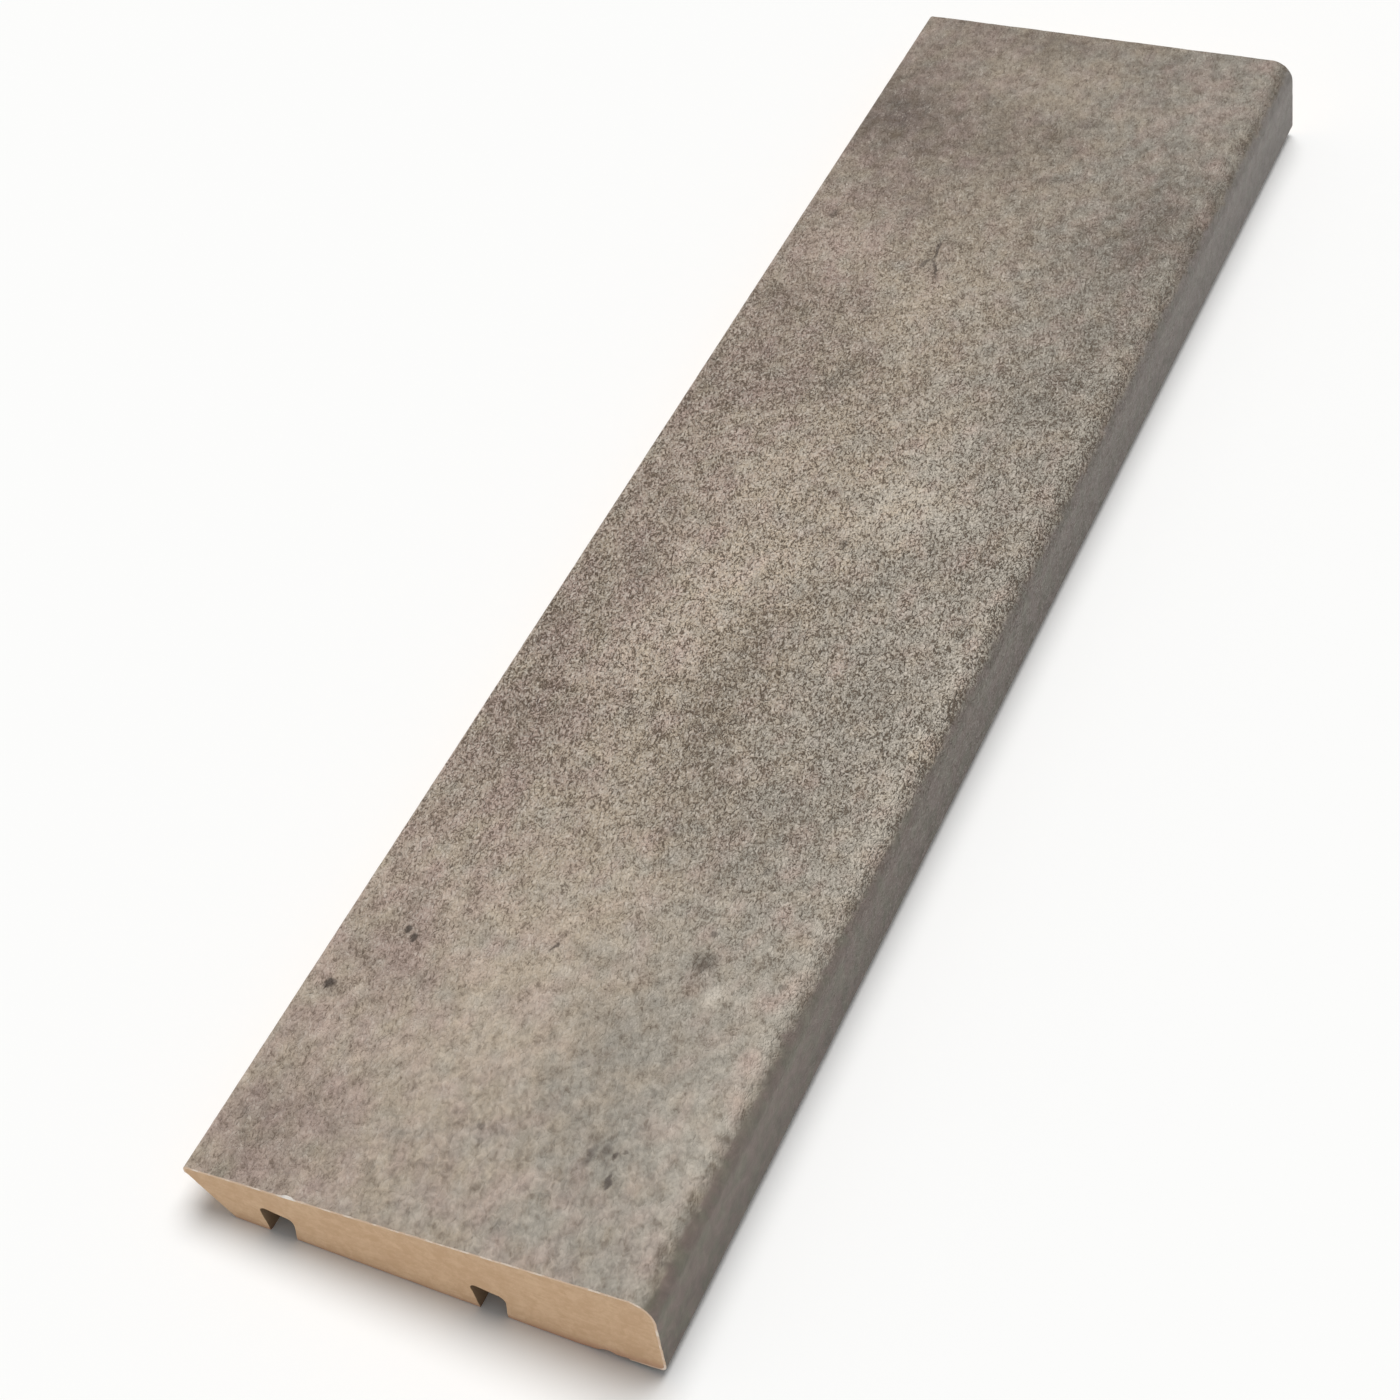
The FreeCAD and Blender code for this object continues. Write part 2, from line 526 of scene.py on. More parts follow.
@dataclass(frozen=True)
class FrontTones:
    """The broad light and colour of the print on the front of the board."""

    fall: float = 0.25
    drift_along: Waves = Waves(21, 24, 6.0 * MM, 24.0 * MM, 1.6)
    drift_across: Waves = Waves(22, 24, 6.0 * MM, 24.0 * MM, 1.6)
    mottle: Waves = Waves(23, 90, 2.2 * MM, 9.0 * MM, 0.06)
    swell: Waves = Waves(26, 40, 9.0 * MM, 26.0 * MM, 0.02)
    yellowness: GroundShare = GroundShare(
        0.9, 0.8, Fade(24.0 * MM, 48.0 * MM), Waves(28, 60, 2.5 * MM, 14.0 * MM, 0.45)
    )
    pinkness: GroundShare = GroundShare(
        0.45, 0.38, Fade(11.0 * MM, 22.0 * MM), Waves(24, 60, 2.5 * MM, 14.0 * MM, 0.45)
    )
    # rim is a painted highlight: a paler band beside the rounded edge that fades further along the board.
    rim: Hump = Hump(55.5 * MM, 1.2 * MM, 0.17)
    highlight_loss: float = 0.55
    highlight_fade: Fade = Fade(0.25, 0.6)
    spot_shade: float = 0.35
    green: Colour = linear(169, 161, 148)
    yellow: Colour = linear(177, 162, 143)
    pink: Colour = linear(179, 158, 146)

    def at(self, sheet: Sheet) -> tuple[np.ndarray, np.ndarray, np.ndarray]:
        """How light the front is, its colour, and where its dark spots are.

        The shade is 1 less a slow fall along the board, less the sum of each cloud's tone times its bell,
        less the spots, plus two reliefs of plane waves and a painted highlight beside the rounded edge, which
        is weaker further along. The clouds are read at places that drift by more plane waves, so that none is
        a plain ellipse. The colour is the green ground blended to the yellow one, and that to the pink one.

        Args:
            sheet: The foil's points.

        Returns:
            The shade, the colour before it is shaded, and the sum of the spots.
        """
        along, across, share = sheet.along, sheet.across, sheet.share
        drifted_along = along / MM + self.drift_along.at(along, across)
        drifted_across = across / MM + self.drift_across.at(along, across)
        shade = 1.0 - self.fall * share + self.mottle.at(along, across) + self.swell.at(along, across)
        pinkness = self.pinkness.at(along, across)
        for cloud in CLOUDS:
            bell = cloud.bell(drifted_along, drifted_across)
            shade = shade - cloud.tone * bell
            pinkness = pinkness + cloud.pink * bell
        spots = sum(spot.tone * spot.bell(along / MM, across / MM) for spot in SPOTS)
        # A painted highlight beside the rounded edge, weaker further along.
        rim = self.rim.at(across) * (1.0 - self.highlight_loss * self.highlight_fade.at(share))
        shade = shade + rim - self.spot_shade * spots
        yellowness = np.clip(self.yellowness.at(along, across), 0.0, 1.0)
        ground = blended(self.green, self.yellow, yellowness)
        return shade, blended(ground, self.pink, np.clip(pinkness, 0.0, 1.0)), spots


@dataclass(frozen=True)
class TopFaceTones:
    """The smoother violet print of the top face, from a ragged line on the rounded edge onwards, with painted
    shade that darkens it well below the front and more towards the floor.
    """

    line_across: float = 57.9 * MM
    line_half_width: float = 0.3 * MM
    ragged: Waves = Waves(25, 80, 0.9 * MM, 6.0 * MM, 0.45 * MM)
    near_shift: float = 0.8 * MM
    shift_fade: Fade = Fade(-0.1, 0.5)
    # Painted shade: the top face past the rounded edge is darkened well below the front, and more towards the
    # floor by fall.
    shade: float = 0.66
    rise: float = 0.28
    fall: float = 0.15
    fall_fade: Fade = Fade(60.5 * MM, 67.0 * MM)
    mottle: Waves = Waves(27, 60, 1.2 * MM, 5.0 * MM, 0.045)
    mossiness: Patchy = Patchy(WHOLE, 0.38, Waves(29, 60, 1.8 * MM, 9.0 * MM, 0.8), 0.0, 1.0)
    slate_share: float = 0.8
    violet: Colour = linear(163, 146, 136)
    moss: Colour = linear(155, 149, 132)
    slate: Colour = linear(152, 147, 143)

    def turned(self, sheet: Sheet) -> np.ndarray:
        """0 on the front and 1 past the ragged line where the top face's painted shade takes over, which lies
        nearer the foot at the near end.
        """
        line = self.line_across - self.near_shift * (1.0 - self.shift_fade.at(sheet.share))
        past = sheet.across - line - self.ragged.at(sheet.along)
        return Fade(-self.line_half_width, self.line_half_width).at(past)

    def at(self, sheet: Sheet) -> np.ndarray:
        """The top face's colour at every point.

        It is the violet blended to moss in patches and to slate towards the far end, times a painted shade
        that lightens along the board, deepens towards the floor and varies by plane waves.

        Args:
            sheet: The foil's points.

        Returns:
            A row of colour for each point.
        """
        along, across, share = sheet.along, sheet.across, sheet.share
        shade = self.shade + self.rise * share + self.mottle.at(along, across)
        shade = shade - self.fall * self.fall_fade.at(across)
        patched = blended(self.violet, self.moss, self.mossiness.at(along, across))
        return blended(patched, self.slate, self.slate_share * share) * shade[:, None]


@dataclass(frozen=True)
class Softness:
    """How soft the print's specks are towards both ends."""

    near: float = 0.88
    near_fade: Fade = Fade(0.04, 0.38)
    foot_loss: float = 0.3
    foot_fade: Fade = Fade(6.0 * MM, 30.0 * MM)
    far: float = 0.65
    far_fade: Fade = Fade(0.5, 1.0)

    def at(self, sheet: Sheet) -> np.ndarray:
        """The near end's softness, which is less at the foot, plus the far end's."""
        near = self.near * (1.0 - self.near_fade.at(sheet.share))
        foot = self.foot_loss * (1.0 - self.foot_fade.at(sheet.across))
        return near * (1.0 - foot) + self.far * self.far_fade.at(sheet.share)


@dataclass(frozen=True)
class StonePrint:
    """The printed and embossed face of the decor foil.

    Its broad colours are worked out for every point of the foil and kept as attributes. Its fine pattern is
    noise, read on the flat sheet: curled dark specks and pale flecks, which lean to one side, give way to
    smudges and a soft grain where the print is soft, and pits are dark ragged ovals.
    """

    GROUND = "ground"
    CRISP = "crisp"
    CROWD = "crowd"
    SOFT = "soft"

    length: float = 232.0 * MM
    front: FrontTones = FrontTones()
    top_face: TopFaceTones = TopFaceTones()
    softness: Softness = Softness()
    brightness: float = 1.25
    speck_lift: float = 0.55
    top_crisp_loss: float = 0.5
    top_soft_loss: float = 0.9
    shade_crowd: float = 0.08
    spot_crowd: float = 0.15
    # More dark specks along the rounded edge: painted shade.
    edge_shade_crowd: Hump = Hump(57.3 * MM, 0.9 * MM, 0.07)
    arris_loss: float = 0.4
    lean: float = -15.0
    lean_stretch: tuple[float, float, float] = (1.6, 1.0, 1.0)
    fine: Noise = Noise(3.5, 0.0, 0.6, 1.0, 0.62)
    curls: Noise = Noise(1.65, 0.0, 0.6, 1.6, 0.47)
    swirls: Noise = Noise(1.2, 1.0, 0.5, 0.5, 0.38)
    drifts: Noise = Noise(0.4, 1.0, 0.6, 0.0, 0.2)
    soft_drifts: float = 1.5
    blotches: Noise = Noise(0.55, 2.0, 0.65, 0.5, 0.5)
    crinkles: Noise = Noise(1.5, 0.0, 0.6, 1.0, 0.56)
    wobble: Noise = Noise(0.9, 1.0, 0.6, 0.0, 0.8)
    speck_fade: Fade = Fade(-0.20, 0.01)
    speck_kept: float = 0.5
    fleck_fade: Fade = Fade(-0.01, 0.20)
    fleck_kept: float = 0.3
    smudge_fade: Fade = Fade(-0.114, -0.0152)
    smudge_strength: float = 0.12
    ink_strength: float = 0.86
    pale_strength: float = 0.62
    pit_strength: float = 0.95
    relief_mm: float = 0.6
    roughness: float = 0.62
    shine: float = 0.4
    ink: Colour = linear(88, 71, 53)
    pit: Colour = linear(70, 59, 50)
    pale: Colour = linear(213, 203, 190)

    def tones(self, along: np.ndarray, across: np.ndarray) -> dict[str, np.ndarray]:
        """The print's broad colours, how crisp and how soft it is, and how crowded its specks are.

        The front's colour times its shade, with its painted highlight beside the rounded edge, gives way
        past the ragged line to the top face's colour and its painted shade. Where the print is crisp the
        ground is lifted, because the dark specks over it take that light away again. Specks crowd where the
        front is dark, in its spots, and along the rounded edge as painted shade.

        Args:
            along: Each point's distance from the near end, in metres.
            across: Its distance from the foot edge over the foil, in metres.

        Returns:
            The values of each attribute.
        """
        sheet = Sheet(along, across, self.length)
        shade, colour, spots = self.front.at(sheet)
        turned = self.top_face.turned(sheet)
        blur = self.softness.at(sheet)
        lit = shade * (self.brightness - self.speck_lift * blur)
        ground = blended(colour * lit[:, None], self.top_face.at(sheet), turned)
        ground[:, 3] = WHOLE
        crisp = (1.0 - blur) * (1.0 - self.top_crisp_loss * turned)
        soft = blur * (1.0 - self.top_soft_loss * turned)
        # arris is painted shade along the rounded edge, drawn as crowded dark specks.
        arris = self.edge_shade_crowd.at(across) * (1.0 - self.arris_loss * blur)
        crowd = self.shade_crowd * (1.0 - shade) + self.spot_crowd * spots + arris
        return {self.GROUND: ground, self.CRISP: crisp, self.CROWD: crowd, self.SOFT: soft}

    def build(self) -> bpy.types.Material:
        """Makes the material.

        Returns:
            The printed face: broad colours under smudges, specks, flecks and pits, and a relief of the same
            fine pattern pressed into it.
        """
        finish = Finish("stone_print")
        place = finish.sheet_place()
        leaning = finish.stretched(place, self.lean_stretch, self.lean)
        crisp = finish.attribute(self.CRISP)
        soft = finish.attribute(self.SOFT)

        sharp = finish.swing(leaning, self.fine) + finish.swing(leaning, self.curls)
        swirls = finish.swing(leaning, self.swirls)
        drifts = finish.swing(place, self.drifts) * (crisp + soft * self.soft_drifts)
        field = sharp * crisp + swirls * soft + drifts
        level = field - finish.attribute(self.CROWD)
        speck = finish.ramp(level, self.speck_fade, 1.0, 0.0)
        speck = speck * (crisp * (1.0 - self.speck_kept) + self.speck_kept)
        smudge = finish.ramp(swirls, self.smudge_fade, 1.0, 0.0) * soft * self.smudge_strength
        fleck = finish.ramp(level, self.fleck_fade) * (crisp * (1.0 - self.fleck_kept) + self.fleck_kept)
        bent = finish.bent(place, self.wobble)
        pits = sum(finish.oval(bent, mark) * mark.tone for mark in PITS)

        grain = finish.swing(leaning, self.crinkles) * soft
        light = 1.0 + finish.swing(place, self.blotches) + grain
        ground = finish.scaled(finish.attribute(self.GROUND, "Color"), light)
        inked = finish.mix(speck * self.ink_strength + smudge, ground, self.ink)
        flecked = finish.mix(fleck * self.pale_strength, inked, self.pale)
        colour = finish.mix(pits * self.pit_strength, flecked, self.pit)
        return finish.surface(colour, finish.bump(field * self.relief_mm), self.roughness, self.shine)


@dataclass(frozen=True)
class PaperEdge:
    """The torn and cut edge of the foil, where its pale paper and its lacquer show."""

    torn: Noise = Noise(0.7, 3.0, 0.65)
    torn_fade: Fade = Fade(0.42, 0.66)
    grit: Noise = Noise(9.0, weight=0.01)
    chip: Stain = Stain(-15.8, -116.0, 1.2, 1.2, 0.8)
    roughness: float = 0.75
    paper: Colour = linear(216, 188, 161)
    lacquer: Colour = linear(234, 219, 203)
    fresh: Colour = linear(252, 248, 242)

    def build(self) -> bpy.types.Material:
        """Makes the material: paper and lacquer in patches, and the fresh white of the chip."""
        finish = Finish("paper_edge")
        place = finish.object_place()
        torn = finish.ramp(finish.noise(place, self.torn), self.torn_fade)
        frayed = finish.mix(torn, self.paper, self.lacquer)
        colour = finish.mix(finish.oval(place, self.chip) * self.chip.tone, frayed, self.fresh)
        relief = finish.bump(finish.noise(place, self.grit) * self.grit.weight)
        return finish.surface(colour, relief, self.roughness)


@dataclass(frozen=True)
class Fibreboard:
    """The bare fibreboard: pressed wood fibre, redder towards its back.

    Lengths are in millimetres. back_fade is counted out from the back, floor_fade up from the floor and
    near_end_fade along Y; the darkening near the floor at the near end is painted shade. tone is what the
    colours are multiplied by, which is less inside the grooves as painted shade.
    """

    name: str
    tone: float = WHOLE
    stretch: tuple[float, float, float] = (6.0, 5.0, 1.0)
    streaks: Noise = Noise(1.6, 4.0, 0.6, 0.3, 0.35)
    clouds: Noise = Noise(0.25, 3.0, 0.6, 0.0, 0.35)
    fibres: Noise = Noise(3.2, 3.0, 0.65, 0.8, 0.35)
    patches: Noise = Noise(0.7, 2.0, 0.6, 0.6, 0.55)
    depth_fade: Fade = Fade(0.6, 0.95)
    back_fade: Fade = Fade(2.2, 0.4)
    back_ragged: float = 1.2
    back_strength: float = 0.75
    floor_fade: Fade = Fade(1.15, 0.45)
    floor_ragged: float = 0.9
    floor_strength: float = 0.6
    near_end_fade: Fade = Fade(-114.8, -115.8)
    fibre_relief: float = 0.03
    streak_relief: float = 0.02
    roughness: float = 0.85
    shine: float = 0.3
    pale: Colour = linear(213, 182, 148)
    deep: Colour = linear(199, 165, 131)
    russet: Colour = linear(180, 136, 112)

    def build(self, board: "Board") -> bpy.types.Material:
        """Makes the material.

        Args:
            board: Where the board lies.

        Returns:
            The fibreboard, with faint streaks in its layers, darker and redder towards its back, and with
            painted shade where the near end meets the floor.
        """
        finish = Finish(self.name)
        place = finish.object_place()
        along = finish.node("ShaderNodeSeparateXYZ", None, {"Vector": place}, "Y")
        above_floor = finish.node("ShaderNodeSeparateXYZ", None, {"Vector": place}, "Z")
        out_of_wall, back = board.out_of_wall()
        sockets = {0: place, 1: (out_of_wall[0], 0.0, out_of_wall[1])}
        height = finish.node("ShaderNodeVectorMath", {"operation": "DOT_PRODUCT"}, sockets, "Value")
        back_fade = Fade(back / MM + self.back_fade.start, back / MM + self.back_fade.end)

        streaks = finish.noise(finish.stretched(place, self.stretch), self.streaks)
        clouds = finish.noise(place, self.clouds)
        fibres = finish.noise(place, self.fibres)
        patches = finish.noise(place, self.patches)
        depth = streaks * self.streaks.weight + clouds * self.clouds.weight
        depth = depth + patches * self.patches.weight + fibres * self.fibres.weight
        body = finish.mix(finish.ramp(depth, self.depth_fade), self.pale, self.deep)

        # Darker and redder towards the back.
        near_back = finish.ramp(height + clouds * self.back_ragged, back_fade)
        # Painted shade: darker where the near end meets the floor.
        floor_shade = finish.ramp(above_floor + patches * self.floor_ragged, self.floor_fade)
        floor_shade = floor_shade * finish.ramp(along, self.near_end_fade)
        reddened = finish.mix(near_back * self.back_strength, body, self.russet)
        floor_shaded = finish.mix(floor_shade * self.floor_strength, reddened, self.russet)
        relief = finish.bump(fibres * self.fibre_relief + streaks * self.streak_relief)
        return finish.surface(finish.scaled(floor_shaded, self.tone), relief, self.roughness, self.shine)


@dataclass(frozen=True)
class Section:
    """Sizes of the moulding's cross-section, as the board stands on a wall."""

    height: float = 58.0 * MM
    thickness: float = 12.0 * MM
    foil: float = 0.3 * MM
    lap: float = 4.5 * MM
    nose_turn: float = 0.5 * MM
    top_radius: float = 2.9 * MM
    arris_radius: float = 0.7 * MM
    nose_radius: float = 0.4 * MM
    bare_band: float = 6.5 * MM
    relief_at_foot: float = 4.3 * MM
    foot_bevel: float = 5.1 * MM
    groove_mouth: float = 3.3 * MM
    groove_depth: float = 4.2 * MM
    groove_undercut: float = 1.05 * MM
    groove_roof_fall: float = 0.6 * MM
    groove_hook_radius: float = 0.6 * MM
    groove_radius: float = 1.1 * MM
    groove_from_foot: float = 6.2 * MM
    groove_pitch: float = 26.1 * MM
    groove_count: int = 2

    def wrap_corners(self, inset: float) -> np.ndarray:
        """Corners of the wrapped outline from the foot nose to the end of the lap, moved in by inset."""
        nose_end = self.thickness - self.foil - self.nose_radius - self.nose_turn
        return np.array([
            (inset, nose_end),
            (inset, self.thickness - inset),
            (self.height - inset, self.thickness - inset),
            (self.height - inset, inset),
            (self.height - self.lap, inset),
        ])

    def wrap_radii(self, inset: float) -> list[float]:
        """Radii of the wrapped outline's three rounded corners, moved in by inset."""
        over_core = self.foil - inset
        return [radius + over_core for radius in (self.nose_radius, self.top_radius, self.arris_radius)]

    def wrap_outline(
        self, inset: float, step: float, arc_step: float, pattern: list[int] | None = None
    ) -> tuple[np.ndarray, list[int]]:
        """The wrapped outline moved in by inset, as rounded_outline hands it back."""
        return rounded_outline(self.wrap_corners(inset), self.wrap_radii(inset), step, arc_step, pattern)

    def relief_ends(self) -> tuple[np.ndarray, np.ndarray]:
        """Where the sloping relief of the back starts at the foot, and where it meets the flat band."""
        foot = np.array((self.foot_bevel, self.foil + self.relief_at_foot))
        band = np.array((self.height - self.lap - self.bare_band, self.foil))
        return foot, band

    def slope(self) -> tuple[np.ndarray, np.ndarray]:
        """The unit direction along the relief, away from the foot, and the one into the board from it."""
        foot, band = self.relief_ends()
        along = (band - foot) / np.linalg.norm(band - foot)
        return along, np.array((-along[1], along[0]))

    def back_corners(self) -> tuple[np.ndarray, list[float]]:
        """Corners of the bare back, from the end of the lap to the foot nose, with the radius of each."""
        foot, band = self.relief_ends()
        along, inward = self.slope()
        half = along * (self.groove_mouth / 2.0)
        undercut = along * self.groove_undercut
        deep = inward * self.groove_depth
        fallen = inward * self.groove_roof_fall
        points = [(band, 0.0)]
        for number in reversed(range(self.groove_count)):
            mouth = foot + along * (self.groove_from_foot + number * self.groove_pitch)
            points += [
                (mouth + half, 0.0),
                (mouth + half + deep - fallen, self.groove_radius),
                (mouth - half - undercut + deep, self.groove_hook_radius),
                (mouth - half, 0.0),
            ]
        points.append((foot, 0.0))
        wrapped = self.wrap_corners(self.foil)
        corners = np.array([wrapped[-1]] + [point for point, _ in points] + [wrapped[0]])
        return corners, [radius for _, radius in points]


def rounded_outline(
    corners: np.ndarray, radii: list[float], step: float, arc_step: float, pattern: list[int] | None = None
) -> tuple[np.ndarray, list[int]]:
    """Points along straight runs joined by tangent arcs.

    An arc of radius r starts and ends r / tan(half angle) from its corner. Its points are its centre plus
    r times the blend (sin((1 - t) a) p + sin(t a) q) / sin(a) of the unit vectors p and q to its two ends,
    where a is the angle between them and t runs from 0 to 1.

    Args:
        corners: The corners in order, with the path's two ends.
        radii: The radius at each inner corner, where 0 leaves it sharp.
        step: The longest distance between points of a straight run.
        arc_step: The longest distance between points of an arc.
        pattern: How many steps each run and arc has, or None to work it out.

    Returns:
        The points, and how many steps each run and arc has.
    """
    pieces = []
    counts = []

    def steps_for(length: float, longest: float) -> int:
        """How many steps the next run or arc has."""
        count = pattern[len(counts)] if pattern else max(1, math.ceil(length / longest))
        counts.append(count)
        return count

    start = corners[0]
    for before, corner, after, radius in zip(corners, corners[1:], corners[2:], radii):
        back = (before - corner) / np.linalg.norm(before - corner)
        ahead = (after - corner) / np.linalg.norm(after - corner)
        half_angle = math.acos(float(np.clip(back @ ahead, -1.0, 1.0))) / 2.0
        setback = radius / math.tan(half_angle)
        arc_start = corner + back * setback
        arc_end = corner + ahead * setback
        run = np.linspace(0.0, 1.0, steps_for(float(np.linalg.norm(arc_start - start)), step) + 1)[:, None]
        pieces.append((start + run * (arc_start - start))[:-1])
        if radius:
            bisector = (back + ahead) / np.linalg.norm(back + ahead)
            centre = corner + bisector * (radius / math.sin(half_angle))
            first = (arc_start - centre) / radius
            last = (arc_end - centre) / radius
            angle = math.pi - 2.0 * half_angle
            turn = np.linspace(0.0, 1.0, steps_for(radius * angle, arc_step) + 1)[:, None]
            blend = (np.sin((1.0 - turn) * angle) * first + np.sin(turn * angle) * last) / math.sin(angle)
            pieces.append((centre + radius * blend)[:-1])
        start = arc_end
    run = np.linspace(0.0, 1.0, steps_for(float(np.linalg.norm(corners[-1] - start)), step) + 1)[:, None]
    pieces.append(start + run * (corners[-1] - start))
    return np.vstack(pieces), counts


def arc_lengths(points: np.ndarray) -> np.ndarray:
    """The distance along a line of points, from its first."""
    return np.concatenate([[0.0], np.cumsum(np.linalg.norm(np.diff(points, axis=0), axis=1))])


def inward_normals(points: np.ndarray) -> np.ndarray:
    """Unit vectors to the right of the way along the points, which is into the board on these outlines."""
    tangents = np.gradient(points, axis=0)
    tangents = tangents / np.linalg.norm(tangents, axis=1, keepdims=True)
    return np.stack([tangents[:, 1], -tangents[:, 0]], axis=1)


def grid_faces(rows: int, columns: int, closed: bool) -> np.ndarray:
    """Quads of a grid of points stored row by row, which outlines run along and rows step across.

    Args:
        rows: How many outlines there are.
        columns: How many points each outline has.
        closed: Whether each outline's last point joins its first.

    Returns:
        Four point numbers for each quad.
    """
    row = np.arange(rows - 1)[:, None] * columns
    column = np.arange(columns if closed else columns - 1)[None, :]
    ahead = (column + 1) % columns
    quads = np.stack([row + column, row + columns + column, row + columns + ahead, row + ahead], axis=-1)
    return quads.reshape(-1, 4)


def make_piece(
    name: str, points: np.ndarray, faces: list, materials: list, picks: np.ndarray
) -> bpy.types.Object:
    """Makes a mesh object at the origin.

    Args:
        name: The piece's name.
        points: Its points, as rows of three.
        faces: Its faces, as lists of point numbers.
        materials: Its materials in order.
        picks: The number of each face's material.

    Returns:
        The object, shaded smooth up to a sharp edge.
    """
    mesh = bpy.data.meshes.new(name)
    mesh.from_pydata(points.tolist(), [], faces)
    for material in materials:
        mesh.materials.append(material)
    mesh.polygons.foreach_set("material_index", picks.astype(np.int32))
    mesh.shade_smooth()
    mesh.set_sharp_from_angle(angle=math.radians(SHARP_EDGE_DEGREES))
    mesh.validate()
    piece = bpy.data.objects.new(name, mesh)
    bpy.context.scene.collection.objects.link(piece)
    return piece


class Board:
    """Where the board lies: the section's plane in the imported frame, and the board's two ends."""

    STEP = 1.0 * MM
    ARC_STEP = 0.1 * MM

    def __init__(self, section: Section) -> None:
        """Reads the board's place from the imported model."""
        self.section = section
        low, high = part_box("mdf_core")
        self.near = low.y
        self.far = high.y
        self.length = self.far - self.near
        self.along, self.inward = section.slope()
        self.foot, self.band = section.relief_ends()
        outline, _ = section.wrap_outline(0.0, self.STEP, self.ARC_STEP)
        self.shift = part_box("decor_foil")[1].x - float(((outline - self.foot) @ self.along).max())

    def laid(self, points: np.ndarray) -> np.ndarray:
        """Section points as the board lies: X from the foot along the relief, Z up from it."""
        from_foot = points - self.foot
        return np.stack([from_foot @ self.along + self.shift, from_foot @ self.inward], axis=-1)

    def placed(self, outlines: np.ndarray, run: np.ndarray) -> np.ndarray:
        """Rows of X, Y and Z for outlines of section points, each at its own place along the board."""
        laid = self.laid(outlines)
        runs = np.broadcast_to(run, laid.shape[:-1])
        return np.stack([laid[..., 0], runs, laid[..., 1]], axis=-1).reshape(-1, 3)

    def out_of_wall(self) -> tuple[np.ndarray, float]:
        """The unit direction out of the wall, along X and Z, and how far along it the bare band lies."""
        band = self.laid(self.band)
        direction = self.laid(self.band + (0.0, 1.0)) - band
        return direction, float(band @ direction)


def falling(distance: np.ndarray, reach: float) -> np.ndarray:
    """1 at no distance, falling evenly to 0 at the reach."""
    return np.clip(1.0 - distance / reach, 0.0, 1.0)


